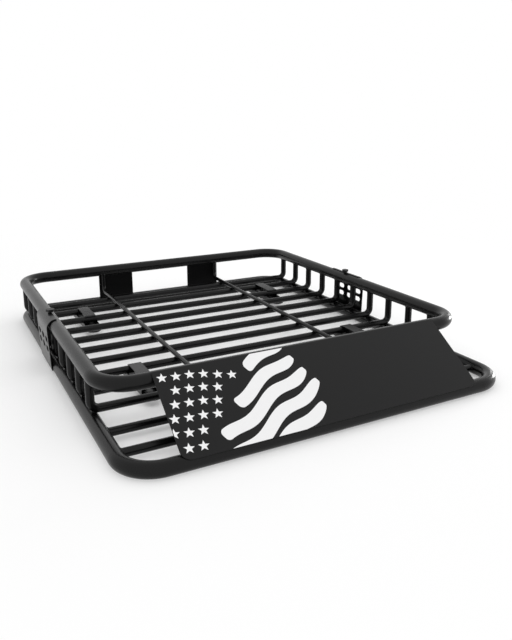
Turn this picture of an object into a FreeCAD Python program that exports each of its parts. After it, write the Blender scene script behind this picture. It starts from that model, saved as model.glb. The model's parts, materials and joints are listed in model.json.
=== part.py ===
# Two-piece steel cargo rack for a vehicle roof: an open basket of bent round tube with a floor of
# cross bars, a sloped wind fairing, side joint brackets and four mounting clamps.
# Millimetres. +X right, +Y to the rear, +Z up, origin on the floor at the middle of the outline.
import FreeCAD
import Part
import Sketcher
import math
import os

from FreeCAD import Placement, Rotation, Vector

doc = FreeCAD.newDocument("CargoRack")

# Driving dimensions
DIMENSIONS = (
    ("overall_length", 1098.4, "nose of the hoop to the back of the rail"),
    ("overall_width", 914.4, "across the outside of the tubes"),
    ("tube_diameter", 31.75, "outside diameter of the rail and hoop tube"),
    ("rail_level", 117.6, "floor to the axis of the upper rail"),
    ("corner_radius", 70, "axis radius of the rail and hoop corners"),
    ("nose_length", 148.5, "axis of the hoop's nose to the axis of the front rail"),
    ("bar_diameter", 18, "outside diameter of the cross bars"),
    ("bar_pitch", 84, "from one U-bar to the next"),
    ("bar_count", 10, "number of U-bars, half of them in each half of the rack"),
    ("bar_setback", 66.7, "axis of the rear rail to the first U-bar"),
    ("bar_bend", 18, "axis radius of a U-bar's bends"),
    ("leg_offset", 1, "how far the legs stand outside the tube axes"),
    ("bar_seat", 0.3, "depth of the seat that a U-bar has on the hoop"),
    ("nose_bar_count", 2, "number of straight bars ahead of the U-bars"),
    ("nose_bar_gap", 70.9, "last U-bar to the first nose bar"),
    ("nose_bar_pitch", 88.5, "from one nose bar to the next"),
    ("rod_diameter", 11.5, "lengthwise floor rods"),
    ("rod_spread", 390, "from one lengthwise rod to the other"),
    ("rod_bend", 18, "axis radius of a rod's bend"),
    ("plate_thickness", 3, "rear plates"),
    ("plate_width", 110, "rear plates, along the rail"),
    ("plate_spread", 305, "from the middle of one rear plate to the other"),
    ("fairing_width", 696, "wind fairing, across"),
    ("fairing_thickness", 2, "wind fairing sheet"),
    ("fairing_corner", 20, "lower corners of the fairing"),
    ("fairing_upper_lip", 4, "fairing past the line where it meets the rail"),
    ("fairing_lower_lip", 6, "fairing past the line where it meets the hoop"),
    ("bracket_length", 129, "side bracket, along the rail"),
    ("bracket_sheet", 2.5, "side bracket sheet"),
    ("bracket_ease", 4, "side bracket off the side of the rail, which it touches on top"),
    ("bracket_lip", 2, "side bracket past the top of the rail, inward"),
    ("bracket_tuck", 7, "side bracket past the side of the hoop, downward"),
    ("slot_length", 26, "side bracket slots"),
    ("slot_width", 14, "side bracket slots"),
    ("slot_columns", 3, "number of slots in each row"),
    ("slot_pitch", 42, "from one slot to the next along the rail"),
    ("slot_row_pitch", 23, "from the lower row of slots to the upper row"),
    ("slot_level", 55, "axis of the hoop to the middle between the rows of slots"),
    ("bolt_head", 18, "bolt heads and nuts, across the flats"),
    ("bolt_head_height", 5.5, "bracket bolt heads"),
    ("bolt_collar", 12, "collar under a bracket bolt's head, diameter"),
    ("bolt_collar_height", 2.5, "collar under a bracket bolt's head"),
    ("clamp_inset", 143.3, "axis of the side tubes to the middle of the clamps"),
    ("clamp_sheet", 3, "clamp saddles"),
    ("clamp_width", 30, "clamp saddles, across"),
    ("clamp_drop", 6, "ends of a clamp saddle, past the axis of each bar along the rack"),
    ("clamp_grip", 10, "from the underside of the bars to the clamp's lower plate"),
    ("clamp_base_sheet", 4, "clamp lower plates"),
    ("clamp_base_width", 40, "clamp lower plates, across"),
    ("clamp_base_length", 200, "clamp lower plates, along the rack"),
    ("clamp_side_length", 130, "folded sides of a clamp's lower plate, along the rack"),
    ("clamp_mount_pitch", 140, "from one mounting hole of a lower plate to the other"),
    ("stud_pitch", 36, "from one clamp stud to the other"),
    ("stud_diameter", 10, "clamp studs"),
    ("stud_clearance", 1, "holes over the studs and mounting bolts"),
    ("stud_end", 2, "clamp stud past its nut"),
    ("nut_height", 8, "clamp nuts"),
)
sheet = doc.addObject("Spreadsheet::Sheet", "Dimensions")
for row, (alias, size, note) in enumerate(DIMENSIONS, start=1):
    sheet.set(f"A{row}", note)
    sheet.set(f"B{row}", str(size))
    sheet.setAlias(f"B{row}", alias)
doc.recompute()

# Sizes and places that follow from the driving dimensions, as expressions on the sheet
TUBE_RADIUS = "(Dimensions.tube_diameter / 2)"
BAR_RADIUS = "(Dimensions.bar_diameter / 2)"
ROD_RADIUS = "(Dimensions.rod_diameter / 2)"
HALF_SPAN = f"(Dimensions.overall_width / 2 - {TUBE_RADIUS})"
LEG_SPAN = f"({HALF_SPAN} + Dimensions.leg_offset)"
REAR_AXIS = f"(Dimensions.overall_length / 2 - {TUBE_RADIUS})"
NOSE_AXIS = f"(-{REAR_AXIS})"
FRONT_AXIS = f"({NOSE_AXIS} + Dimensions.nose_length)"
HOOP_LEVEL = TUBE_RADIUS
RAIL_LEVEL = "Dimensions.rail_level"
FIRST_BAR = f"({REAR_AXIS} - Dimensions.bar_setback)"
LAST_BAR = f"({FIRST_BAR} - (Dimensions.bar_count - 1) * Dimensions.bar_pitch)"
JOINT = f"({FIRST_BAR} - (Dimensions.bar_count - 1) / 2 * Dimensions.bar_pitch)"
SEAT_REACH = f"(Dimensions.bar_bend + {BAR_RADIUS} + {TUBE_RADIUS} - Dimensions.bar_seat)"
SEAT_RISE = f"sqrt({SEAT_REACH} ^ 2 - (Dimensions.bar_bend - Dimensions.leg_offset) ^ 2)"
BAR_LEVEL = f"({HOOP_LEVEL} + {SEAT_RISE} - Dimensions.bar_bend)"
BAR_TOP = f"({BAR_LEVEL} + {BAR_RADIUS})"
BAR_UNDERSIDE = f"({BAR_LEVEL} - {BAR_RADIUS})"
ROD_LEVEL = f"({BAR_TOP} + {ROD_RADIUS})"
ROD_SETBACK = f"(Dimensions.plate_thickness / 2 + {ROD_RADIUS})"
RAIL_RISE = f"({RAIL_LEVEL} - {HOOP_LEVEL})"
FAIRING_SLOPE = f"atan({RAIL_RISE} / Dimensions.nose_length)"
FAIRING_RUN = f"sqrt(Dimensions.nose_length ^ 2 + {RAIL_RISE} ^ 2)"
FAIRING_LENGTH = f"({FAIRING_RUN} + Dimensions.fairing_upper_lip + Dimensions.fairing_lower_lip)"
CLAMP_BASE_TOP = f"({BAR_UNDERSIDE} - Dimensions.clamp_grip)"
CLAMP_BASE_UNDERSIDE = f"({CLAMP_BASE_TOP} - Dimensions.clamp_base_sheet)"
STUD_HOLE = "(Dimensions.stud_diameter + Dimensions.stud_clearance)"

ALONG_Y = Rotation(Vector(1, 0, 0), -90)
ALONG_X = Rotation(Vector(0, 1, 0), 90)
ABOUT_X = Rotation(Vector(1, 0, 0), 0)
HALF_TURN = Rotation(Vector(0, 0, 1), 180)
QUARTER_TURN = Rotation(Vector(0, 0, 1), 90)
FACE_UP = Rotation(Vector(0, 1, 0), -90)

# The sketcher's own numbers for the points of an edge and for its axes
START, END, CENTRE = range(1, 4)
HORIZONTAL_AXIS, VERTICAL_AXIS = range(-1, -3, -1)
SKETCH_ORIGIN = (HORIZONTAL_AXIS, START)

parts = []


def value(expression):
    """The present number of an expression, for a sketch's first geometry."""
    return float(sheet.evalExpression(expression))


def put(thing, x="0", y="0", z="0", turn=None):
    """Bind a placement to the sheet."""
    if turn is not None:
        thing.Placement = Placement(Vector(), turn)
    for axis, expression in zip("xyz", (x, y, z)):
        thing.setExpression(f"Placement.Base.{axis}", expression)


def new_body(name):
    """A body that becomes a sub-part of the rack."""
    body = doc.addObject("PartDesign::Body", name)
    body.Label = name
    parts.append(body)
    return body


def new_sketch(body, name, plane):
    """A sketch on one of the body's own origin planes."""
    sketch = body.newObject("Sketcher::SketchObject", f"{body.Name}_{name}")
    support = next(item for item in body.Origin.OriginFeatures if item.Role == plane)
    sketch.AttachmentSupport = [(support, "")]
    sketch.MapMode = "FlatFace"
    return sketch


def hold(sketch, *terms):
    """Add a constraint that has no size."""
    sketch.addConstraint(Sketcher.Constraint(*terms))


def drive(sketch, name, expression, *terms):
    """Add a constraint whose size comes from the sheet."""
    index = sketch.addConstraint(Sketcher.Constraint(*terms, value(expression)))
    sketch.renameConstraint(index, name)
    sketch.setExpression(f"Constraints.{name}", expression)


def line(sketch, start, end):
    return sketch.addGeometry(Part.LineSegment(Vector(*start), Vector(*end)))


def arc(sketch, centre, radius, first, last):
    circle = Part.Circle(Vector(*centre), Vector(0, 0, 1), radius)
    return sketch.addGeometry(Part.ArcOfCircle(circle, math.radians(first), math.radians(last)))


def rectangle(sketch, width, height):
    """A rectangle with its middle at the sketch's origin."""
    half, rise = value(width) / 2, value(height) / 2
    corners = ((-half, -rise), (half, -rise), (half, rise), (-half, rise))
    edges = [line(sketch, *pair) for pair in zip(corners, corners[1:] + corners[:1])]
    for before, after in zip(edges, edges[1:] + edges[:1]):
        hold(sketch, "Coincident", before, END, after, START)
    bottom, right, top, left = edges
    for level in (bottom, top):
        hold(sketch, "Horizontal", level)
    for upright in (right, left):
        hold(sketch, "Vertical", upright)
    hold(sketch, "Symmetric", bottom, START, right, END, *SKETCH_ORIGIN)
    drive(sketch, "width", width, "DistanceX", bottom, START, bottom, END)
    drive(sketch, "height", height, "DistanceY", right, START, right, END)


def hole(sketch, name, diameter, offset, behind):
    """A round hole on the sketch's horizontal axis, behind its origin or ahead of it."""
    place = value(offset) * (-1 if behind else 1)
    circle = sketch.addGeometry(Part.Circle(Vector(place, 0, 0), Vector(0, 0, 1), value(diameter) / 2))
    ends = ((circle, CENTRE), SKETCH_ORIGIN) if behind else (SKETCH_ORIGIN, (circle, CENTRE))
    hold(sketch, "PointOnObject", circle, CENTRE, HORIZONTAL_AXIS)
    drive(sketch, f"{name}_offset", offset, "DistanceX", *ends[0], *ends[1])
    drive(sketch, f"{name}_diameter", diameter, "Diameter", circle)


def round_ended(sketch, name, length, width):
    """A level outline with two half-round ends. Returns its left and right ends."""
    radius = value(width) / 2
    reach = value(length) / 2 - radius
    right = arc(sketch, (reach, 0), radius, -90, 90)
    top = line(sketch, (reach, radius), (-reach, radius))
    left = arc(sketch, (-reach, 0), radius, 90, 270)
    bottom = line(sketch, (-reach, -radius), (reach, -radius))
    chain = (right, top, left, bottom)
    for before, after in zip(chain, chain[1:] + chain[:1]):
        hold(sketch, "Tangent", before, END, after, START)
    hold(sketch, "Horizontal", bottom)
    hold(sketch, "Equal", left, right)
    drive(sketch, f"{name}_reach", f"{length} - {width}", "DistanceX", left, CENTRE, right, CENTRE)
    drive(sketch, f"{name}_width", width, "Diameter", right)
    return left, right


def u_path(sketch, half_span, leg, bend):
    """Two legs joined by a straight base on the sketch's horizontal axis, with round corners."""
    half, height, radius = value(half_span), value(leg), value(bend)
    left = line(sketch, (-half, height), (-half, radius))
    left_bend = arc(sketch, (radius - half, radius), radius, 180, 270)
    base = line(sketch, (radius - half, 0), (half - radius, 0))
    right_bend = arc(sketch, (half - radius, radius), radius, 270, 360)
    right = line(sketch, (half, radius), (half, height))
    chain = (left, left_bend, base, right_bend, right)
    for before, after in zip(chain, chain[1:]):
        hold(sketch, "Tangent", before, END, after, START)
    hold(sketch, "Vertical", left)
    hold(sketch, "Horizontal", base)
    hold(sketch, "Vertical", right)
    hold(sketch, "PointOnObject", base, START, HORIZONTAL_AXIS)
    hold(sketch, "Symmetric", left, START, right, END, VERTICAL_AXIS)
    hold(sketch, "Equal", left_bend, right_bend)
    drive(sketch, "span", f"2 * {half_span}", "DistanceX", left, START, right, END)
    drive(sketch, "leg", leg, "DistanceY", *SKETCH_ORIGIN, left, START)
    drive(sketch, "bend", bend, "Radius", left_bend)
    return left, right


def l_path(sketch, run, leg, bend):
    """One leg on the sketch's vertical axis, bent into a straight run on the horizontal axis."""
    length, height, radius = value(run), value(leg), value(bend)
    upright = line(sketch, (0, height), (0, radius))
    corner = arc(sketch, (radius, radius), radius, 180, 270)
    level = line(sketch, (radius, 0), (length, 0))
    hold(sketch, "Tangent", upright, END, corner, START)
    hold(sketch, "Tangent", corner, END, level, START)
    hold(sketch, "Vertical", upright)
    hold(sketch, "Horizontal", level)
    hold(sketch, "PointOnObject", upright, START, VERTICAL_AXIS)
    hold(sketch, "PointOnObject", level, START, HORIZONTAL_AXIS)
    drive(sketch, "leg", leg, "DistanceY", *SKETCH_ORIGIN, upright, START)
    drive(sketch, "run", run, "DistanceX", *SKETCH_ORIGIN, level, END)
    drive(sketch, "bend", bend, "Radius", corner)


def sweep_round(body, path, diameter):
    """Sweep a round section along the whole path."""
    doc.recompute()
    section = body.newObject("Sketcher::SketchObject", f"{body.Name}_section")
    section.AttachmentSupport = [(path, "Edge1")]
    section.MapMode = "NormalToEdge"
    circle = section.addGeometry(Part.Circle(Vector(), Vector(0, 0, 1), value(diameter) / 2))
    hold(section, "Coincident", circle, CENTRE, *SKETCH_ORIGIN)
    drive(section, "diameter", diameter, "Diameter", circle)
    pipe = body.newObject("PartDesign::AdditivePipe", f"{body.Name}_pipe")
    pipe.Profile = section
    pipe.Spine = (path, [f"Edge{number + 1}" for number in range(len(path.Shape.Edges))])
    body.Tip = pipe


def cut_round(body, name, diameter, length, x="0", y="0", z="0", turn=None):
    """Cut a round tube's outline out of a body, with the middle of the cut at x, y, z."""
    cut = body.newObject("PartDesign::SubtractiveCylinder", f"{body.Name}_{name}")
    cut.setExpression("Radius", f"{diameter} / 2")
    cut.setExpression("Height", length)
    put(cut, x, y, z, turn)
    body.Tip = cut


def cut_along_y(body, name, x, z, length):
    cut_round(body, name, "Dimensions.tube_diameter", length, x, f"-{length} / 2", z, ALONG_Y)


def cut_along_x(body, name, y, z, length):
    cut_round(body, name, "Dimensions.tube_diameter", length, f"-{length} / 2", y, z, ALONG_X)


def pad(body, sketch, thickness, symmetric=False):
    solid = body.newObject("PartDesign::Pad", f"{body.Name}_pad")
    solid.Profile = sketch
    solid.setExpression("Length", thickness)
    if symmetric:
        solid.SideType = "Symmetric"
    body.Tip = solid


def bent_tube(name, axis, level, reach, turn=None):
    """One half of the rail or of the hoop: a U of tube, open at the joint."""
    body = new_body(name)
    path = new_sketch(body, "path", "XY_Plane")
    u_path(path, HALF_SPAN, reach, "Dimensions.corner_radius")
    sweep_round(body, path, "Dimensions.tube_diameter")
    put(body, y=axis, z=level, turn=turn)


def u_bar(number):
    """A cross bar with both ends bent up, seated on the hoop and coped to the rail."""
    body = new_body(f"u_bar_{number + 1:02d}")
    path = new_sketch(body, "path", "XZ_Plane")
    u_path(path, LEG_SPAN, f"({RAIL_LEVEL} - {BAR_LEVEL})", "Dimensions.bar_bend")
    sweep_round(body, path, "Dimensions.bar_diameter")
    for side, sign in (("left", "-"), ("right", "")):
        length = "(2 * Dimensions.bar_diameter)"
        cut_along_y(body, f"{side}_cope", f"{sign}{HALF_SPAN}", f"{RAIL_LEVEL} - {BAR_LEVEL}", length)
        cut_along_y(body, f"{side}_seat", f"{sign}{HALF_SPAN}", f"{HOOP_LEVEL} - {BAR_LEVEL}", length)
    put(body, y=f"{FIRST_BAR} - {number} * Dimensions.bar_pitch", z=BAR_LEVEL)


def nose_bar(number):
    """A straight bar between the sides of the hoop, coped to both."""
    body = new_body(f"nose_bar_{number + 1}")
    bar = body.newObject("PartDesign::AdditiveCylinder", f"{body.Name}_bar")
    bar.setExpression("Radius", BAR_RADIUS)
    bar.setExpression("Height", f"2 * {HALF_SPAN}")
    put(bar, x=f"-{HALF_SPAN}", turn=ALONG_X)
    for side, sign in (("left", "-"), ("right", "")):
        cut_along_y(body, f"{side}_cope", f"{sign}{HALF_SPAN}", "0", "(2 * Dimensions.bar_diameter)")
    place = f"{LAST_BAR} - Dimensions.nose_bar_gap - {number} * Dimensions.nose_bar_pitch"
    put(body, y=place, z=HOOP_LEVEL)


def floor_rod(name, sign, axis, turn=None):
    """A rod on top of the bars, bent up to the underside of the rail, cut off at the joint."""
    body = new_body(name)
    path = new_sketch(body, "path", "YZ_Plane")
    reach = f"(abs({JOINT} - {axis}) - {ROD_SETBACK})"
    l_path(path, reach, f"({RAIL_LEVEL} - {ROD_LEVEL})", "Dimensions.rod_bend")
    sweep_round(body, path, "Dimensions.rod_diameter")
    length = "(2 * Dimensions.rod_diameter)"
    cut_along_x(body, "cope", f"-{ROD_SETBACK}", f"{RAIL_LEVEL} - {ROD_LEVEL}", length)
    inward = "-" if turn else "+"
    place = f"{axis} {inward} {ROD_SETBACK}"
    put(body, x=f"{sign}Dimensions.rod_spread / 2", y=place, z=ROD_LEVEL, turn=turn)


def rear_plate(name, sign):
    """Flat bar on edge between the hoop and the rail at the back, fitted to both."""
    body = new_body(name)
    outline = new_sketch(body, "outline", "XZ_Plane")
    rectangle(outline, "Dimensions.plate_width", RAIL_RISE)
    pad(body, outline, "Dimensions.plate_thickness", symmetric=True)
    length = "(2 * Dimensions.plate_width)"
    cut_along_x(body, "hoop_fit", "0", f"-{RAIL_RISE} / 2", length)
    cut_along_x(body, "rail_fit", "0", f"{RAIL_RISE} / 2", length)
    put(body, x=f"{sign}Dimensions.plate_spread / 2", y=REAR_AXIS, z=f"{HOOP_LEVEL} + {RAIL_RISE} / 2")


def fairing():
    """Flat sheet laid on the front rail and the hoop's nose, with round lower corners."""
    body = new_body("fairing")
    outline = new_sketch(body, "outline", "XY_Plane")
    half_width = "(Dimensions.fairing_width / 2)"
    left, right = u_path(outline, half_width, FAIRING_LENGTH, "Dimensions.fairing_corner")
    half, height = value(half_width), value(FAIRING_LENGTH)
    top = line(outline, (half, height), (-half, height))
    hold(outline, "Coincident", right, END, top, START)
    hold(outline, "Coincident", top, END, left, START)
    pad(body, outline, "Dimensions.fairing_thickness")
    lip = "Dimensions.fairing_lower_lip"
    back = f"({TUBE_RADIUS} * sin({FAIRING_SLOPE}) + {lip} * cos({FAIRING_SLOPE}))"
    rise = f"({TUBE_RADIUS} * cos({FAIRING_SLOPE}) - {lip} * sin({FAIRING_SLOPE}))"
    put(body, y=f"{NOSE_AXIS} - {back}", z=f"{HOOP_LEVEL} + {rise}", turn=ABOUT_X)
    body.setExpression("Placement.Rotation.Angle", FAIRING_SLOPE)


def wrap_profile(sketch, rise, near_radius, far_radius, gauge, near_end, far_end):
    """Sheet bent round two rods, one at the sketch's origin and one above it, and straight between them.

    Each end of the sheet is given as an axis, X or Y, and how far past its rod's middle it reaches there.
    """
    angles = []
    for radius, (axis, reach) in ((near_radius, near_end), (far_radius, far_end)):
        angle = math.degrees(math.asin(value(reach) / value(radius)))
        angles.append(angle + 90 if axis == "X" else angle)
    arcs = []
    for layer in ("0", gauge):
        near, far = (value(f"{radius} + {layer}") for radius in (near_radius, far_radius))
        near_arc = arc(sketch, (0, 0), near, -angles[0], 0)
        far_arc = arc(sketch, (0, value(rise)), far, 0, angles[1])
        face = line(sketch, (near, 0), (far, value(rise)))
        hold(sketch, "Tangent", near_arc, END, face, START)
        hold(sketch, "Tangent", face, END, far_arc, START)
        hold(sketch, "Coincident", near_arc, CENTRE, *SKETCH_ORIGIN)
        arcs.append((near_arc, far_arc))
    (near_inside, far_inside), (near_outside, far_outside) = arcs
    hold(sketch, "PointOnObject", far_inside, CENTRE, VERTICAL_AXIS)
    hold(sketch, "Coincident", far_inside, CENTRE, far_outside, CENTRE)
    drive(sketch, "rise", rise, "DistanceY", *SKETCH_ORIGIN, far_inside, CENTRE)
    for name, inside, outside, radius, end in (("near", near_inside, near_outside, near_radius, START),
                                               ("far", far_inside, far_outside, far_radius, END)):
        drive(sketch, f"{name}_inside", radius, "Radius", inside)
        drive(sketch, f"{name}_outside", f"{radius} + {gauge}", "Radius", outside)
        tip = [geometry.EndPoint if end == END else geometry.StartPoint
               for geometry in (sketch.Geometry[inside], sketch.Geometry[outside])]
        edge = line(sketch, *tip)
        hold(sketch, "Coincident", inside, end, edge, START)
        hold(sketch, "Coincident", outside, end, edge, END)
        hold(sketch, "PointOnObject", inside, CENTRE, edge)
    drive(sketch, "near_reach", near_end[1], f"Distance{near_end[0]}", near_inside, START, *SKETCH_ORIGIN)
    far_points = ((far_inside, CENTRE), (far_inside, END))
    if far_end[0] == "X":
        far_points = far_points[::-1]
    drive(sketch, "far_reach", far_end[1], f"Distance{far_end[0]}", *far_points[0], *far_points[1])


def cut_slots(body):
    """Two rows of round-ended slots through the flat of a side bracket."""
    outline = new_sketch(body, "slots", "YZ_Plane")
    run = "((Dimensions.slot_columns - 1) * Dimensions.slot_pitch)"
    for row, sense in (("lower", "-"), ("upper", "+")):
        left, right = round_ended(outline, row, "Dimensions.slot_length", "Dimensions.slot_width")
        level = f"(Dimensions.slot_level {sense} Dimensions.slot_row_pitch / 2)"
        column = f"(({run} - Dimensions.slot_length + Dimensions.slot_width) / 2)"
        drive(outline, f"{row}_level", level, "DistanceY", *SKETCH_ORIGIN, right, CENTRE)
        drive(outline, f"{row}_column", column, "DistanceX", right, CENTRE, *SKETCH_ORIGIN)
    slots = body.newObject("PartDesign::Pocket", f"{body.Name}_cut")
    slots.Profile = outline
    slots.Type = "ThroughAll"
    slots.SideType = "Symmetric"
    columns = body.newObject("PartDesign::LinearPattern", f"{body.Name}_columns")
    columns.Originals = [slots]
    columns.Direction = (outline, ["H_Axis"])
    columns.setExpression("Occurrences", "Dimensions.slot_columns")
    columns.setExpression("Length", run)
    body.Tip = columns


def side_bracket(name, turn=None):
    """Formed sheet over the rail joint, down the outside and round the side of the hoop, with slots."""
    body = new_body(name)
    outline = new_sketch(body, "outline", "XZ_Plane")
    wrap_profile(outline, f"({RAIL_RISE} - Dimensions.bracket_ease)", TUBE_RADIUS,
                 f"({TUBE_RADIUS} + Dimensions.bracket_ease)", "Dimensions.bracket_sheet",
                 ("Y", "Dimensions.bracket_tuck"), ("X", "Dimensions.bracket_lip"))
    pad(body, outline, "Dimensions.bracket_length", symmetric=True)
    cut_slots(body)
    sign = "-" if turn else ""
    put(body, x=f"{sign}{HALF_SPAN}", y=JOINT, z=HOOP_LEVEL, turn=turn)


def hexagon(name, height, x, y, z):
    """A bolt head or nut with six sides, its underside at z."""
    prism = doc.addObject("Part::Prism", name)
    prism.setExpression("Circumradius", "Dimensions.bolt_head / sqrt(3)")
    prism.setExpression("Height", height)
    put(prism, x, y, z)
    return prism


def rod(name, diameter, height, x, y, z):
    """An upright round shank or collar, its underside at z."""
    cylinder = doc.addObject("Part::Cylinder", name)
    cylinder.setExpression("Radius", f"{diameter} / 2")
    cylinder.setExpression("Height", height)
    put(cylinder, x, y, z)
    return cylinder


def fastener(name, pieces):
    """Join the pieces of one fastener."""
    bolt = doc.addObject("Part::MultiFuse", name)
    bolt.Shapes = pieces
    bolt.Label = name
    parts.append(bolt)


def bracket_bolt(name, sign):
    """The bolt on top of a side bracket: a head on a round collar."""
    place = (f"{sign}{HALF_SPAN}", JOINT)
    seat = f"({RAIL_LEVEL} + {TUBE_RADIUS} + Dimensions.bracket_sheet)"
    collar = rod(f"{name}_collar", "Dimensions.bolt_collar", "Dimensions.bolt_collar_height", *place, seat)
    head_seat = f"{seat} + Dimensions.bolt_collar_height"
    head = hexagon(f"{name}_head", "Dimensions.bolt_head_height", *place, head_seat)
    fastener(name, [collar, head])


def clamp_saddle(name, x, y):
    """Strap over two bars with both ends bent down round them."""
    body = new_body(name)
    outline = new_sketch(body, "outline", "XY_Plane")
    end = ("Y", "Dimensions.clamp_drop")
    wrap_profile(outline, "Dimensions.bar_pitch", BAR_RADIUS, BAR_RADIUS, "Dimensions.clamp_sheet", end, end)
    pad(body, outline, "Dimensions.clamp_width", symmetric=True)
    put(body, x, y, BAR_LEVEL, FACE_UP)


def clamp_base(name, x, y):
    """Round-ended plate with holes on its middle line and two sides folded up to the bars."""
    body = new_body(name)
    outline = new_sketch(body, "outline", "XY_Plane")
    length, width = "Dimensions.clamp_base_length", "Dimensions.clamp_base_width"
    left, right = round_ended(outline, "plate", length, width)
    hold(outline, "Symmetric", left, CENTRE, right, CENTRE, *SKETCH_ORIGIN)
    for use, pitch in (("stud", "Dimensions.stud_pitch"), ("mount", "Dimensions.clamp_mount_pitch")):
        for end, behind in (("front", True), ("back", False)):
            hole(outline, f"{end}_{use}", STUD_HOLE, f"{pitch} / 2", behind)
    gauge, fold = "Dimensions.clamp_base_sheet", "Dimensions.clamp_side_length"
    pad(body, outline, gauge)
    for side, edge in (("left", f"{width} / 2 - {gauge}"), ("right", f"-{width} / 2")):
        flange = body.newObject("PartDesign::AdditiveBox", f"{name}_{side}_side")
        flange.setExpression("Length", fold)
        flange.setExpression("Width", gauge)
        flange.setExpression("Height", f"{gauge} + Dimensions.clamp_grip")
        put(flange, f"-{fold} / 2", edge)
        body.Tip = flange
    put(body, x, y, CLAMP_BASE_UNDERSIDE, QUARTER_TURN)


def clamp_stud(name, x, y):
    """Stud under the saddle, through the lower plate, with a nut under the plate."""
    nut_seat = f"({CLAMP_BASE_UNDERSIDE} - Dimensions.nut_height)"
    low_end = f"({nut_seat} - Dimensions.stud_end)"
    shank = rod(f"{name}_shank", "Dimensions.stud_diameter", f"{BAR_TOP} - {low_end}", x, y, low_end)
    nut = hexagon(f"{name}_nut", "Dimensions.nut_height", x, y, nut_seat)
    fastener(name, [shank, nut])


def clamp(corner, sign, front_bar):
    """Saddle over two bars, a longer plate below them and two studs that draw them together."""
    x = f"{sign}({HALF_SPAN} - Dimensions.clamp_inset)"
    front = f"({FIRST_BAR} - {front_bar} * Dimensions.bar_pitch)"
    middle = f"({front} + Dimensions.bar_pitch / 2)"
    clamp_saddle(f"{corner}_clamp_top", x, front)
    clamp_base(f"{corner}_clamp_base", x, middle)
    for number, sense in enumerate("+-", start=1):
        clamp_stud(f"{corner}_clamp_bolt_{number}", x, f"{middle} {sense} Dimensions.stud_pitch / 2")


for half, rail_axis, hoop_axis, half_turn in (("front", FRONT_AXIS, NOSE_AXIS, None),
                                              ("rear", REAR_AXIS, REAR_AXIS, HALF_TURN)):
    bent_tube(f"{half}_upper_rail", rail_axis, RAIL_LEVEL, f"abs({JOINT} - {rail_axis})", half_turn)
    bent_tube(f"{half}_lower_hoop", hoop_axis, HOOP_LEVEL, f"abs({JOINT} - {hoop_axis})", half_turn)
bar_numbers = range(int(value("Dimensions.bar_count")))
# A clamp grips the second and third bars from each end of the floor
rear_clamp_bars, front_clamp_bars = bar_numbers[1:3], bar_numbers[-3:-1]
for bar_index in bar_numbers:
    u_bar(bar_index)
for bar_index in range(int(value("Dimensions.nose_bar_count"))):
    nose_bar(bar_index)
for side, side_sign in (("left", "-"), ("right", "")):
    floor_rod(f"{side}_front_rod", side_sign, FRONT_AXIS)
    floor_rod(f"{side}_rear_rod", side_sign, REAR_AXIS, HALF_TURN)
    rear_plate(f"{side}_rear_plate", side_sign)
    side_bracket(f"{side}_side_bracket", HALF_TURN if side == "left" else None)
    bracket_bolt(f"{side}_bracket_bolt", side_sign)
    clamp(f"front_{side}", side_sign, front_clamp_bars[-1])
    clamp(f"rear_{side}", side_sign, rear_clamp_bars[-1])
fairing()

doc.recompute()
for thing in doc.Objects:
    if "Invalid" in thing.State or "Error" in thing.State:
        raise RuntimeError(f"{thing.Label} did not rebuild: {thing.State}")
for part in parts:
    if part.Shape.isNull() or not part.Shape.isValid():
        raise RuntimeError(f"{part.Label} has no valid shape")
os.makedirs("parts", exist_ok=True)
for part in parts:
    part.Shape.exportStep(f"parts/{part.Label}.step")
    print(part.Label, len(part.Shape.Solids), round(part.Shape.Volume))
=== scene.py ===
# %% [markdown]
# A roof rack is a basket of bent steel tube under one satin black powder coat. The solids come in ready
# made, at their real size, so this lesson is about finish: the coat, the white print on the fairing, the
# weld beads that hold the bars, and the plain studio that the rack stands in.

# %% Load the rack
import json
import math

import bmesh
import bpy
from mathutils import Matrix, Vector


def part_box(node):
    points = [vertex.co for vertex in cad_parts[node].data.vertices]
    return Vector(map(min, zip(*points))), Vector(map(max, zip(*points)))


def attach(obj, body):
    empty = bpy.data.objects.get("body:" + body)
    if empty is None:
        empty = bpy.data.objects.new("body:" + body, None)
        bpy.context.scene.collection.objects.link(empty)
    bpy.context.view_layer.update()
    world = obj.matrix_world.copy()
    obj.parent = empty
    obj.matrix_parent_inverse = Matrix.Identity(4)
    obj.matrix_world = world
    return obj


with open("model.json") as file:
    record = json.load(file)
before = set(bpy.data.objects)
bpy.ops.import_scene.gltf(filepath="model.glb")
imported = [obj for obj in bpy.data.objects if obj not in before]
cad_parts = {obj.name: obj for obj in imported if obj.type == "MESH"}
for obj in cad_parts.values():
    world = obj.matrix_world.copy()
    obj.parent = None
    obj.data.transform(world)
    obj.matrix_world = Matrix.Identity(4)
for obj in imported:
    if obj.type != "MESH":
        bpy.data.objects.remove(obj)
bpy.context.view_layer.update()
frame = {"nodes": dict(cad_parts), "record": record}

MM = 0.001
nodes = frame["nodes"]

# %% [markdown]
# A shader can be wired link by link, but a sum is easier to read as a sum. The class below wraps a socket,
# so that `1 - mask` adds a Math node by itself, and `add` makes every other kind of node in one call.

# %% Write shader maths as Python
class Signal:
    """An output socket that Python's operators combine into Math nodes."""

    def __init__(self, finish, socket):
        self.finish = finish
        self.socket = socket

    def out(self, name):
        """Another output of the same node, by its name or number."""
        return Signal(self.finish, self.socket.node.outputs[name])

    def combine(self, operation, left, right):
        return self.finish.add("ShaderNodeMath", {"operation": operation}, {0: left, 1: right})

    def __add__(self, other):
        return self.combine("ADD", self, other)

    def __radd__(self, other):
        return self.combine("ADD", other, self)

    def __sub__(self, other):
        return self.combine("SUBTRACT", self, other)

    def __rsub__(self, other):
        return self.combine("SUBTRACT", other, self)

    def __mul__(self, other):
        return self.combine("MULTIPLY", self, other)

    def __rmul__(self, other):
        return self.combine("MULTIPLY", other, self)


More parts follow.
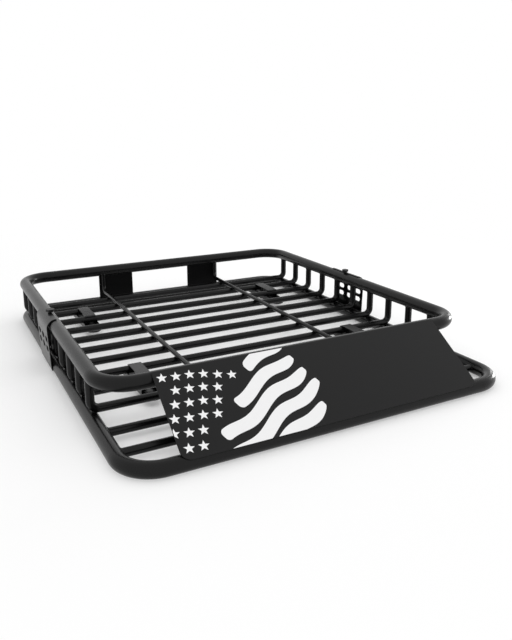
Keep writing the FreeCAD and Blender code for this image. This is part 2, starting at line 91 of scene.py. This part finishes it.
class Finish:
    """The node tree of a material or of the world, emptied and ready to fill."""

    def __init__(self, owner):
        owner.use_nodes = True
        self.tree = owner.node_tree
        self.tree.nodes.clear()

    def add(self, kind, settings=None, sockets=None):
        """Add one node: its settings first, then the values or links of its sockets."""
        node = self.tree.nodes.new(kind)
        for name, setting in (settings or {}).items():
            setattr(node, name, setting)
        for name, source in (sockets or {}).items():
            if isinstance(source, Signal):
                self.tree.links.new(source.socket, node.inputs[name])
            else:
                node.inputs[name].default_value = source
        return Signal(self, node.outputs[0]) if node.outputs else None


def new_finish(name):
    material = bpy.data.materials.new(name)
    return material, Finish(material)

# %% [markdown]
# No finish is quite even, so two helpers vary it. Noise is placed by the piece's own coordinates, which are
# metres here, so its scale is a count to the metre. A Mix node then slides from one colour to another. It
# lists a number and a vector before its colour, which is why the colour is taken by its place.

# %% Noise and colour helpers
COLOUR_RESULT = 2


def noise(finish, per_metre, detail):
    """Soft random waves that stay with the piece."""
    place = finish.add("ShaderNodeTexCoord").out("Object")
    return finish.add("ShaderNodeTexNoise", None, {"Vector": place, "Scale": per_metre, "Detail": detail})


def between(finish, factor, first, second):
    """A colour that goes from the first to the second with the factor."""
    mixed = finish.add("ShaderNodeMix", {"data_type": "RGBA"},
                       {"Factor": factor, "A": (*first, 1), "B": (*second, 1)})
    return mixed.out(COLOUR_RESULT)

# %% [markdown]
# Powder coat is plastic dust baked onto steel. It is even in colour and has a faint orange peel, a shallow
# waviness a millimetre or two across, with a fine grain on top. Both are far too shallow to show in an
# outline, so a bump node does for them. The roughness drifts a little, so that long tubes don't shine like
# one sheet.

# %% Powder coat
DRIFT_PER_METRE, DRIFT_DETAIL = 9, 2.0
PEEL_PER_METRE, PEEL_DETAIL, PEEL_DEPTH = 420, 1.0, 0.1 * MM
GRAIN_PER_METRE, GRAIN_DETAIL, GRAIN_SHARE = 2400, 0.0, 0.12
DULL_SHARE, ROUGHNESS_DRIFT, NOISE_MIDDLE = 0.82, 0.08, 0.5


def coat(name, colour, roughness, peel, gloss):
    """Satin powder coat over steel."""
    material, finish = new_finish(name)
    drift = noise(finish, DRIFT_PER_METRE, DRIFT_DETAIL)
    waves = noise(finish, PEEL_PER_METRE, PEEL_DETAIL)
    grain = noise(finish, GRAIN_PER_METRE, GRAIN_DETAIL)
    height = waves + GRAIN_SHARE * grain
    bump = finish.add("ShaderNodeBump", None, {"Strength": peel, "Distance": PEEL_DEPTH, "Height": height})
    dull = tuple(part * DULL_SHARE for part in colour)
    shader = finish.add("ShaderNodeBsdfPrincipled", None, {
        "Base Color": between(finish, drift, dull, colour),
        "Roughness": roughness + ROUGHNESS_DRIFT * (drift - NOISE_MIDDLE),
        "Normal": bump,
        "Specular IOR Level": gloss})
    finish.add("ShaderNodeOutputMaterial", None, {"Surface": shader})
    return material

# %% [markdown]
# The tubes have the glossiest coat. The flat fairing is a duller, slightly paler sheet. The two plates
# at the back get a darker, duller copy of the tubes' coat, which is painted shade: it stands in for the
# shade they sit in inside the basket. The record says which finish each node takes, so a loop can coat them
# all.

# %% Coat every node
RACK_BLACK = (0.0028, 0.0028, 0.0029)
SHEET_BLACK = (0.0060, 0.0060, 0.0062)
# The rear plates' deeper black is painted shade, not a different paint.
PLATE_BLACK_PAINTED_SHADE = (0.0016, 0.0016, 0.0017)
OXIDE_BLACK = (0.0090, 0.0090, 0.0095)

rack_coat = coat("rack_powder_coat", RACK_BLACK, roughness=0.27, peel=0.08, gloss=0.235)
sheet_coat = coat("fairing_powder_coat", SHEET_BLACK, roughness=0.44, peel=0.10, gloss=0.225)
# The rear plates' darker, duller coat paints in the shade that falls on them inside the basket.
plate_coat_painted_shade = coat("rear_plate_coat_painted_shade", PLATE_BLACK_PAINTED_SHADE, roughness=0.50, peel=0.12, gloss=0.09)
bolt_black = coat("bolt_black_oxide", OXIDE_BLACK, roughness=0.42, peel=0.05, gloss=0.225)
finishes = {"powder_coat": rack_coat, "fairing_coat": sheet_coat, "fastener": bolt_black}
for part in frame["record"]["subparts"]:
    mesh = nodes[part["node"]].data
    mesh.materials.clear()
    mesh.materials.append(finishes[part["material_slot"]])
# The rear plates are given the darker coat as painted shade.
for side in ("left", "right"):
    nodes[f"{side}_rear_plate"].data.materials[0] = plate_coat_painted_shade

# %% [markdown]
# The fairing carries a screen print of stars and wavy stripes. Ink is a film a tenth of a millimetre thick,
# so each star and stripe is a thin plate on the sheet. Real outlines keep their edge at any distance, which
# a painted texture would not. First comes the sheet's own pair of axes. Its slope follows from the sides of
# its box, less the little that the thickness adds to them, so a few rounds settle it.

# %% Where the print goes
ALONG_X, ALONG_Y, ALONG_Z = Vector((1, 0, 0)), Vector((0, 1, 0)), Vector((0, 0, 1))
SHEET_THICKNESS = 2 * MM
SLOPE_ROUNDS = 8

sheet_low, sheet_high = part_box("fairing")
slope = 0
for attempt in range(SLOPE_ROUNDS):
    sheet_rise = sheet_high.z - sheet_low.z - SHEET_THICKNESS * math.cos(slope)
    sheet_run = sheet_high.y - sheet_low.y - SHEET_THICKNESS * math.sin(slope)
    slope = math.atan2(sheet_rise, sheet_run)
up_sheet = ALONG_Y * math.cos(slope) + ALONG_Z * math.sin(slope)
off_sheet = ALONG_Z * math.cos(slope) - ALONG_Y * math.sin(slope)
sheet_foot = Vector((0, sheet_low.y, sheet_high.z - sheet_rise))
sheet_length = math.hypot(sheet_rise, sheet_run)
print("fairing face:", round((sheet_high.x - sheet_low.x) / MM), "by", round(sheet_length / MM), "mm")


def on_sheet(across, up):
    """A point on the fairing's face, from millimetres across it and up it."""
    return sheet_foot + (ALONG_X * across + up_sheet * up) * MM

# %% [markdown]
# A star is ten points on two circles, and a stripe is a ribbon along a tilted sine wave, blunt where it
# starts and brushed thin where it ends. Its points crowd towards both ends, where the outline curves most.
# Both functions only list outlines, in millimetres on the sheet.

# %% Star and stripe outlines
STAR_POINTS, STAR_OUTER, STAR_INNER = 5, 11.0, 4.6
STAR_TOP = math.radians(81)
STRIPE_HALF, STRIPE_LEAN, STRIPE_WAVE, STRIPE_WAVELENGTH = 11.8, 0.50, 6.5, 125
STRIPE_ORIGIN, STRIPE_STEPS = -160, 60
BLUNT_RUN, BRUSHED_RUN, END_WIDTH = 8, 34, 0.3


def star(across, up):
    outline = []
    for corner in range(2 * STAR_POINTS):
        reach = STAR_INNER if corner % 2 else STAR_OUTER
        turn = STAR_TOP + corner * math.pi / STAR_POINTS
        outline.append(on_sheet(across + reach * math.cos(turn), up + reach * math.sin(turn)))
    return outline


def stripe(start, end, level):
    """A wavy ribbon as one outline: along its upper edge, then back along its lower edge."""
    upper, lower = [], []
    for step in range(STRIPE_STEPS + 1):
        across = start + (end - start) * (1 - math.cos(math.pi * step / STRIPE_STEPS)) / 2
        run = across - STRIPE_ORIGIN
        short = 1 - min(1, (across - start) / BLUNT_RUN, (end - across) / BRUSHED_RUN)
        half = STRIPE_HALF * (END_WIDTH + (1 - END_WIDTH) * math.sqrt(1 - short ** 2))
        middle = level + STRIPE_LEAN * run + STRIPE_WAVE * math.sin(math.tau * run / STRIPE_WAVELENGTH)
        upper.append(on_sheet(across - STRIPE_LEAN * half, middle + half))
        lower.append(on_sheet(across + STRIPE_LEAN * half, middle - half))
    return upper + lower[::-1]

# %% [markdown]
# The rows of stars lean with the wave, as they would on cloth. The field that they fill has a slanting
# edge, and each stripe starts a little past it, where its own line would cross that edge.

# %% Lay out the print
STAR_START, STAR_ACROSS, STAR_DOWN = (-332, 176), (27.5, -4.5), (-10.5, -28.5)
STAR_COLUMNS, STAR_ROWS, STAR_LOWEST = 8, 7, 8
STAR_WAVE, STAR_WAVELENGTH = 3.0, 150
FIELD_EDGE, FIELD_LEAN = -300, 0.72
STRIPE_GAP = 26
STRIPE_LEVELS, STRIPE_ENDS = (158, 114, 70, 26, -18), (-60, -52, -38, -22, -34)

outlines = []
for row in range(STAR_ROWS):
    for column in range(STAR_COLUMNS):
        across = STAR_START[0] + column * STAR_ACROSS[0] + row * STAR_DOWN[0]
        up = STAR_START[1] + column * STAR_ACROSS[1] + row * STAR_DOWN[1]
        up += STAR_WAVE * math.sin(math.tau * across / STAR_WAVELENGTH)
        if sheet_low.x / MM < across < FIELD_EDGE + FIELD_LEAN * up and up > STAR_LOWEST:
            outlines.append(star(across, up))
print("stars:", len(outlines))
for level, end in zip(STRIPE_LEVELS, STRIPE_ENDS):
    level_at_zero = level - STRIPE_LEAN * STRIPE_ORIGIN
    start = (FIELD_EDGE + STRIPE_GAP + FIELD_LEAN * level_at_zero) / (1 - FIELD_LEAN * STRIPE_LEAN)
    outlines.append(stripe(start, end, level))
print("stripes:", len(STRIPE_LEVELS))

# %% [markdown]
# The outlines become faces, are trimmed where they run over the sheet's edges, and are thickened into a
# film. It starts just inside the sheet, so that no gap shows at a low angle.

# %% Print film
FILM, FILM_SUNK = 0.10 * MM, 0.05 * MM
PRINT_MARGIN = 0.6 * MM

film = bmesh.new()
for outline in outlines:
    film.faces.new([film.verts.new(point - off_sheet * FILM_SUNK) for point in outline])
side_edge = ALONG_X * (sheet_low.x + PRINT_MARGIN)
bottom_edge = sheet_foot + up_sheet * PRINT_MARGIN
top_edge = sheet_foot + up_sheet * (sheet_length - PRINT_MARGIN)
for edge, outward in ((side_edge, -ALONG_X), (bottom_edge, -up_sheet), (top_edge, up_sheet)):
    bmesh.ops.bisect_plane(film, geom=film.verts[:] + film.edges[:] + film.faces[:], plane_co=edge,
                           plane_no=outward, clear_outer=True)
grown = bmesh.ops.extrude_face_region(film, geom=film.faces[:])["geom"]
bmesh.ops.translate(film, verts=[item for item in grown if isinstance(item, bmesh.types.BMVert)],
                    vec=off_sheet * (FILM + FILM_SUNK))
bmesh.ops.recalc_face_normals(film, faces=film.faces[:])
bmesh.ops.triangulate(film, faces=film.faces[:])
print("film faces:", len(film.faces))

# %% [markdown]
# Screen ink is white and half matt, with the slight unevenness that the screen's mesh leaves. One noise
# serves for the thinner spots, the roughness and the bump, because on real ink they fall together.

# %% White ink
INK_WHITE, INK_THIN = (0.90, 0.90, 0.90), (0.84, 0.84, 0.845)
INK_ROUGHNESS, INK_ROUGHNESS_DRIFT = 0.48, 0.1
INK_BUMP, INK_DEPTH = 0.1, 0.05 * MM
SCREEN_PER_METRE, SCREEN_DETAIL = 900, 1.0

ink, finish = new_finish("fairing_white_ink")
screen = noise(finish, SCREEN_PER_METRE, SCREEN_DETAIL)
bump = finish.add("ShaderNodeBump", None, {"Strength": INK_BUMP, "Distance": INK_DEPTH, "Height": screen})
shader = finish.add("ShaderNodeBsdfPrincipled", None, {
    "Base Color": between(finish, screen, INK_THIN, INK_WHITE),
    "Roughness": INK_ROUGHNESS + INK_ROUGHNESS_DRIFT * screen,
    "Normal": bump})
finish.add("ShaderNodeOutputMaterial", None, {"Surface": shader})
print("ink:", ink.name)

# %% [markdown]
# A mesh becomes a piece of the rack when it rides on the rack's body and carries its finish.
# The welds and the threads go through the same function later.

# %% Make the print a piece
def new_piece(name, mesh, material):
    """Turn a finished bmesh into a piece of the rack."""
    data = bpy.data.meshes.new(name)
    mesh.to_mesh(data)
    mesh.free()
    data.materials.append(material)
    piece = bpy.data.objects.new(name, data)
    bpy.context.scene.collection.objects.link(piece)
    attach(piece, "root")
    print(name, "faces:", len(data.polygons))


new_piece("fairing_print", film, ink)

# %% [markdown]
# Welded tube shows a bead at each joint: a raised, rippled ring where one tube ends on another. A torus
# would lie flat, and this ring has to follow the curve where the two round surfaces meet. That is found by
# sliding along the smaller tube until the larger one's radius is reached. A bead is then a row of small
# rings that swell and shrink with each ripple.

# %% Bead maker
BEAD_SIDES, BEAD_TIP = 7, 0.35
RING_STEPS = 48
RIPPLE = 0.16


def bead(mesh, path, radius, closed=False, ripple=RIPPLE):
    """Add a bead along a path of points, each with the direction that faces away from the joint."""
    count = len(path)
    rings = []
    for index, (point, outward) in enumerate(path):
        before = path[index - 1 if closed else max(index - 1, 0)][0]
        after = path[(index + 1) % count if closed else min(index + 1, count - 1)][0]
        along = (after - before).normalized()
        across = along.cross(outward).normalized()
        away = across.cross(along)
        swell = radius * (1 - ripple * (index % 2))
        if not closed and index in (0, count - 1):
            swell = radius * BEAD_TIP
        ring = []
        for side in range(BEAD_SIDES):
            turn = math.tau * side / BEAD_SIDES
            ring.append(mesh.verts.new(point + swell * (math.cos(turn) * away + math.sin(turn) * across)))
        rings.append(ring)
    following = rings[1:] + rings[:1] if closed else rings[1:]
    for ring, other in zip(rings, following):
        for side in range(BEAD_SIDES):
            turned = (side + 1) % BEAD_SIDES
            mesh.faces.new((ring[side], ring[turned], other[turned], other[side])).smooth = True
    if not closed:
        mesh.faces.new(rings[0][::-1])
        mesh.faces.new(rings[-1])


def end_ring(foot, toward, radius, tube_middle, tube_axis, tube_radius):
    """The curve where a small tube, running from its foot towards a larger one, meets the larger tube."""
    sideways = toward.cross(tube_axis)
    path = []
    for step in range(RING_STEPS):
        turn = math.tau * step / RING_STEPS
        outward = math.cos(turn) * tube_axis + math.sin(turn) * sideways
        start = foot + radius * outward
        offset = (start - tube_middle).dot(sideways)
        reach = (tube_middle - start).dot(toward) - math.sqrt(tube_radius ** 2 - offset ** 2)
        path.append((start + reach * toward, outward))
    return path

# %% [markdown]
# The places of the joints could be typed in, but the boxes of the nodes hold them already, and then the
# beads stay on the tubes if a size changes. A box's sides, less a tube's radius, are the axes of its tubes.

# %% Measure the tubes
def named(mark):
    """The names of the nodes that hold a mark."""
    return [name for name in nodes if mark in name]


rail_low, rail_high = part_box("front_upper_rail")
tube_radius = (rail_high.z - rail_low.z) / 2
rail_level, half_span = rail_high.z - tube_radius, rail_high.x - tube_radius
rail_front = rail_low.y + tube_radius
rail_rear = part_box("rear_upper_rail")[1].y - tube_radius
hoop_level = tube_radius
hoop_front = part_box("front_lower_hoop")[0].y + tube_radius

bar_low, bar_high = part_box("u_bar_01")
bar_radius = (bar_high.y - bar_low.y) / 2
leg_span, bar_level = bar_high.x - bar_radius, bar_low.z + bar_radius
bar_top = bar_level + bar_radius
bar_places = [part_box(name)[0].y + bar_radius for name in named("u_bar")]
print("tube and bar radius, mm:", round(tube_radius / MM, 2), round(bar_radius / MM, 2))

# %% [markdown]
# A U-bar has a ring bead where each leg meets the rail, and where its bend sits on the hoop it has two
# short tacks, one each side. The tacks bow over the hoop, as its surface does.

# %% Bar welds
LEG_BEAD, TACK_BEAD = 1.5 * MM, 1.4 * MM
TACK_STEPS, TACK_REACH, TACK_LIFT = 8, 4.5 * MM, 0.6 * MM
BAR_BEND = 18 * MM
SEAT_SPACING = 4.6 * MM
welds = bmesh.new()


def tack(middle, along, outward, bow):
    """A short bead over a round surface whose radius is bow."""
    path = []
    for step in range(TACK_STEPS + 1):
        turn = TACK_REACH * (2 * step / TACK_STEPS - 1) / bow
        facing = math.cos(turn) * outward + math.sin(turn) * along
        path.append((middle + bow * (facing - outward), facing))
    bead(welds, path, TACK_BEAD)


for bar_y in bar_places:
    for sign in (-1, 1):
        rail_middle = Vector((sign * half_span, bar_y, rail_level))
        foot = Vector((sign * leg_span, bar_y, bar_level))
        ring = end_ring(foot, ALONG_Z, bar_radius, rail_middle, ALONG_Y, tube_radius)
        bead(welds, ring, LEG_BEAD, closed=True)
        bend_middle = Vector((sign * (leg_span - BAR_BEND), bar_y, bar_level + BAR_BEND))
        hoop_middle = Vector((sign * half_span, bar_y, hoop_level))
        seat_way = (bend_middle - hoop_middle).normalized()
        for side in (-1, 1):
            seat = hoop_middle + seat_way * (tube_radius + TACK_LIFT) + ALONG_Y * side * SEAT_SPACING
            tack(seat, seat_way.cross(ALONG_Y), seat_way, tube_radius)
print("bar ends welded:", 2 * len(bar_places))

# %% [markdown]
# The nose bars end on the inside of the hoop. The rods turn up to end under the rail, and where they cross
# the bars they have a tack on each side.

# %% Nose bar and rod welds
ROD_BEAD = 1.1 * MM
CROSSING_SPACING = 3.6 * MM

for name in named("nose_bar"):
    lowest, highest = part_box(name)
    bar_y = (lowest.y + highest.y) / 2
    for sign in (-1, 1):
        hoop_middle = Vector((sign * half_span, bar_y, hoop_level))
        foot = Vector((0, bar_y, hoop_level))
        ring = end_ring(foot, sign * ALONG_X, bar_radius, hoop_middle, ALONG_Y, tube_radius)
        bead(welds, ring, LEG_BEAD, closed=True)

for name in named("_rod"):
    lowest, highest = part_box(name)
    rod_radius = (highest.x - lowest.x) / 2
    rod_x = lowest.x + rod_radius
    if "rear" in name:
        leg_y, rail_y = highest.y - rod_radius, rail_rear
    else:
        leg_y, rail_y = lowest.y + rod_radius, rail_front
    foot = Vector((rod_x, leg_y, bar_top))
    rail_middle = Vector((rod_x, rail_y, rail_level))
    ring = end_ring(foot, ALONG_Z, rod_radius, rail_middle, ALONG_X, tube_radius)
    bead(welds, ring, ROD_BEAD, closed=True)
    crossed = [bar_y for bar_y in bar_places if lowest.y < bar_y < highest.y]
    for bar_y in crossed:
        for side in (-1, 1):
            crossing = Vector((rod_x + side * CROSSING_SPACING, bar_y, bar_top + TACK_LIFT))
            tack(crossing, ALONG_Y, ALONG_Z, bar_radius)
    print(name, "tacked to bars:", len(crossed))

# %% [markdown]
# The rear plates have long beads along both tubes, front and back. Behind the fairing, short stitches in
# the wedge between sheet and tube hold it to the rail and to the hoop. The wedge's middle lies a little
# round the tube from the line where the sheet touches it.

# %% Plate welds and fairing stitches
PLATE_STEPS = 40
STITCH_COUNT, STITCH_PITCH, STITCH_LENGTH, STITCH_STEPS = 5, 145 * MM, 42 * MM, 16
STITCH_BEAD, STITCH_TURN = 1.7 * MM, math.radians(28)

for name in named("_rear_plate"):
    lowest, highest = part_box(name)
    run = [lowest.x + (highest.x - lowest.x) * step / PLATE_STEPS for step in range(PLATE_STEPS + 1)]
    for y, way in ((lowest.y, -ALONG_Y), (highest.y, ALONG_Y)):
        for level, lean in ((rail_level - tube_radius, -ALONG_Z), (hoop_level + tube_radius, ALONG_Z)):
            outward = (way + lean).normalized()
            bead(welds, [(Vector((x, y, level)), outward) for x in run], TACK_BEAD)

for tube_y, tube_level, inward in ((rail_front, rail_level, -up_sheet), (hoop_front, hoop_level, up_sheet)):
    facing = math.cos(STITCH_TURN) * off_sheet + math.sin(STITCH_TURN) * inward
    wedge = Vector((0, tube_y, tube_level)) + tube_radius * facing
    wedge += off_sheet * tube_radius * (1 - math.cos(STITCH_TURN)) / 2
    for number in range(STITCH_COUNT):
        start = (number - (STITCH_COUNT - 1) / 2) * STITCH_PITCH - STITCH_LENGTH / 2
        run = [start + STITCH_LENGTH * step / STITCH_STEPS for step in range(STITCH_STEPS + 1)]
        bead(welds, [(wedge + ALONG_X * x, inward) for x in run], STITCH_BEAD)
new_piece("weld_beads", welds, rack_coat)

# %% [markdown]
# The clamps' studs are threaded rod. A Screw modifier could wind the thread, but it is one ridge round the
# shank, so the bead maker can lay it too, along a helix of the standard pitch for this size.

# %% Stud threads
THREAD_PITCH, THREAD_RIDGE, THREAD_BITE = 1.5 * MM, 0.45 * MM, 0.25
STUD_RADIUS, STUD_END = 5.0 * MM, 2.0 * MM
PLATE_GAUGE = 4 * MM
TURN_STEPS = 16

shank = STUD_RADIUS - THREAD_BITE * THREAD_RIDGE
threads = bmesh.new()
for name in named("_clamp_bolt_"):
    lowest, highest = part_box(name)
    centre = Vector(((lowest.x + highest.x) / 2, (lowest.y + highest.y) / 2, 0))
    plate_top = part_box(name.split("_bolt")[0] + "_base")[0].z + PLATE_GAUGE
    below_nut = (lowest.z + THREAD_RIDGE, lowest.z + STUD_END)
    above_plate = (plate_top, highest.z - THREAD_RIDGE)
    for start, end in (below_nut, above_plate):
        helix = []
        for step in range(int((end - start) / THREAD_PITCH * TURN_STEPS) + 1):
            turn = math.tau * step / TURN_STEPS
            outward = Vector((math.cos(turn), math.sin(turn), 0))
            height = start + THREAD_PITCH * step / TURN_STEPS
            helix.append((centre + outward * shank + ALONG_Z * height, outward))
        bead(threads, helix, THREAD_RIDGE, ripple=0)
new_piece("stud_threads", threads, bolt_black)

# %% [markdown]
# The studio is a pale floor in a white room. A curved backdrop would hide the horizon from one side only.
# This floor is real paper near the rack, so that it holds the shadow, and fades to the white of the room
# further off, so that no horizon shows from any side. The fade is centred behind the rack's middle, which
# leaves only a thin shadow at the nose. From below the floor is clear, so that the underside shows too.

# %% Floor
FLOOR_SIZE = 60.0
PAPER_WHITE = (0.93, 0.93, 0.93, 1)
WHITE = (1, 1, 1, 1)
FADE_CENTRE, FADE_START, FADE_END = (0.1, 0.35, 0), 0.58, 1.65
PAPER_GLOW = 0.20


def plainly_seen(finish):
    """One where the camera, a reflection or a clear view looks, none where light only bounces."""
    ray = finish.add("ShaderNodeLightPath")
    return ray.out("Is Camera Ray") + ray.out("Is Glossy Ray") + ray.out("Is Transmission Ray")


bpy.ops.mesh.primitive_plane_add(size=FLOOR_SIZE)
floor = bpy.context.object
floor.name = "studio_floor"
floor_material, finish = new_finish("studio_floor_white")
spot = finish.add("ShaderNodeTexCoord").out("Object")
away = finish.add("ShaderNodeVectorMath", {"operation": "DISTANCE"}, {0: spot, 1: FADE_CENTRE}).out("Value")
fade = finish.add("ShaderNodeMapRange", {"interpolation_type": "SMOOTHSTEP"}, {
    "Value": away, "From Min": FADE_START, "From Max": FADE_END, "To Min": PAPER_GLOW, "To Max": 1.0})
paper = finish.add("ShaderNodeBsdfDiffuse", None, {"Color": PAPER_WHITE})
glow = finish.add("ShaderNodeEmission", None, {"Color": WHITE, "Strength": 1.0})
mixed = finish.add("ShaderNodeMixShader", None, {0: fade * plainly_seen(finish), 1: paper, 2: glow})
clear = finish.add("ShaderNodeBsdfTransparent")
beneath = finish.add("ShaderNodeNewGeometry").out("Backfacing")
one_sided = finish.add("ShaderNodeMixShader", None, {0: beneath, 1: mixed, 2: clear})
finish.add("ShaderNodeOutputMaterial", None, {"Surface": one_sided})
floor.data.materials.append(floor_material)
print("floor:", FLOOR_SIZE, "m")

# %% [markdown]
# To the camera, and to anything that mirrors it, the room is plain white. The light that reaches the rack
# from it is a little softer than that.

# %% Room
ROOM_LIGHT = 0.90

studio = bpy.data.worlds.new("studio")
bpy.context.scene.world = studio
surround = Finish(studio)
room = surround.add("ShaderNodeBackground", None, {"Color": WHITE, "Strength": ROOM_LIGHT})
white = surround.add("ShaderNodeBackground", None, {"Color": WHITE, "Strength": 1.0})
view = surround.add("ShaderNodeMixShader", None, {0: plainly_seen(surround), 1: room, 2: white})
surround.add("ShaderNodeOutputWorld", None, {"Surface": view})
print("room light:", ROOM_LIGHT)

# %% [markdown]
# Four lamps, all turned to the middle of the rack. Two small strips at the right put the white glints on
# the bends, the low one on the near corners and the high one inside the far corner. With a softbox beside
# them they throw the shadow to the left. A broad softbox overhead lights the floor. Both softboxes are left
# out of reflections, so that the glints stay small and the flat fairing doesn't mirror an edge. Each row
# gives a lamp's name, its place and size in metres, its watts, and whether it is mirrored.

# %% Lamps
LAMPS = (
    ("low_glint_strip", (3.0, 0.2, 0.25), (0.3, 0.45), 29.0, True),
    ("high_glint_strip", (3.0, 0.9, 0.75), (0.3, 0.6), 4.0, True),
    ("side_softbox", (3.0, 0.6, 0.6), (0.5, 1.0), 14.0, False),
    ("ceiling_softbox", (0.5, 0.3, 3.2), (5.0, 5.0), 26.0, False),
)
for name, place, size, watts, mirrored in LAMPS:
    lamp = bpy.data.lights.new(name, "AREA")
    lamp.shape = "RECTANGLE"
    lamp.size, lamp.size_y = size
    lamp.energy = watts
    stand = bpy.data.objects.new(name, lamp)
    stand.location = place
    stand.rotation_euler = (-Vector(place)).to_track_quat("-Z", "Y").to_euler()
    stand.visible_glossy = mirrored
    bpy.context.scene.collection.objects.link(stand)
print("lamps:", len(LAMPS))

# %% [markdown]
# The camera stands where the photograph was taken from. Its place and lens were found by fitting the edges
# of the tubes, so the rack falls on the same pixels. The small shift is there because the lens's axis lies
# a little above the middle of the picture. Heading and pitch are in degrees.

# %% Camera
IMAGE_WIDTH, IMAGE_HEIGHT = 512, 640
FOCAL_PIXELS = 646.91
AXIS_PIXEL = (258.76, 272.6)
CAMERA_PLACE = (-0.70642, -1.49420, 0.60839)
CAMERA_HEADING, CAMERA_PITCH = 28.12, 13.76
SENSOR_MM = 36.0

camera = bpy.data.cameras.new("camera")
camera.sensor_width = SENSOR_MM
camera.lens = SENSOR_MM * FOCAL_PIXELS / IMAGE_HEIGHT
camera.shift_x = (IMAGE_WIDTH / 2 - AXIS_PIXEL[0]) / IMAGE_HEIGHT
camera.shift_y = (AXIS_PIXEL[1] - IMAGE_HEIGHT / 2) / IMAGE_HEIGHT
viewer = bpy.data.objects.new("camera", camera)
viewer.location = CAMERA_PLACE
viewer.rotation_euler = (math.radians(90 - CAMERA_PITCH), 0, math.radians(-CAMERA_HEADING))
bpy.context.scene.collection.objects.link(viewer)
bpy.context.scene.camera = viewer
bpy.context.scene.view_settings.view_transform = "Standard"
print("lens, mm:", round(camera.lens, 2))
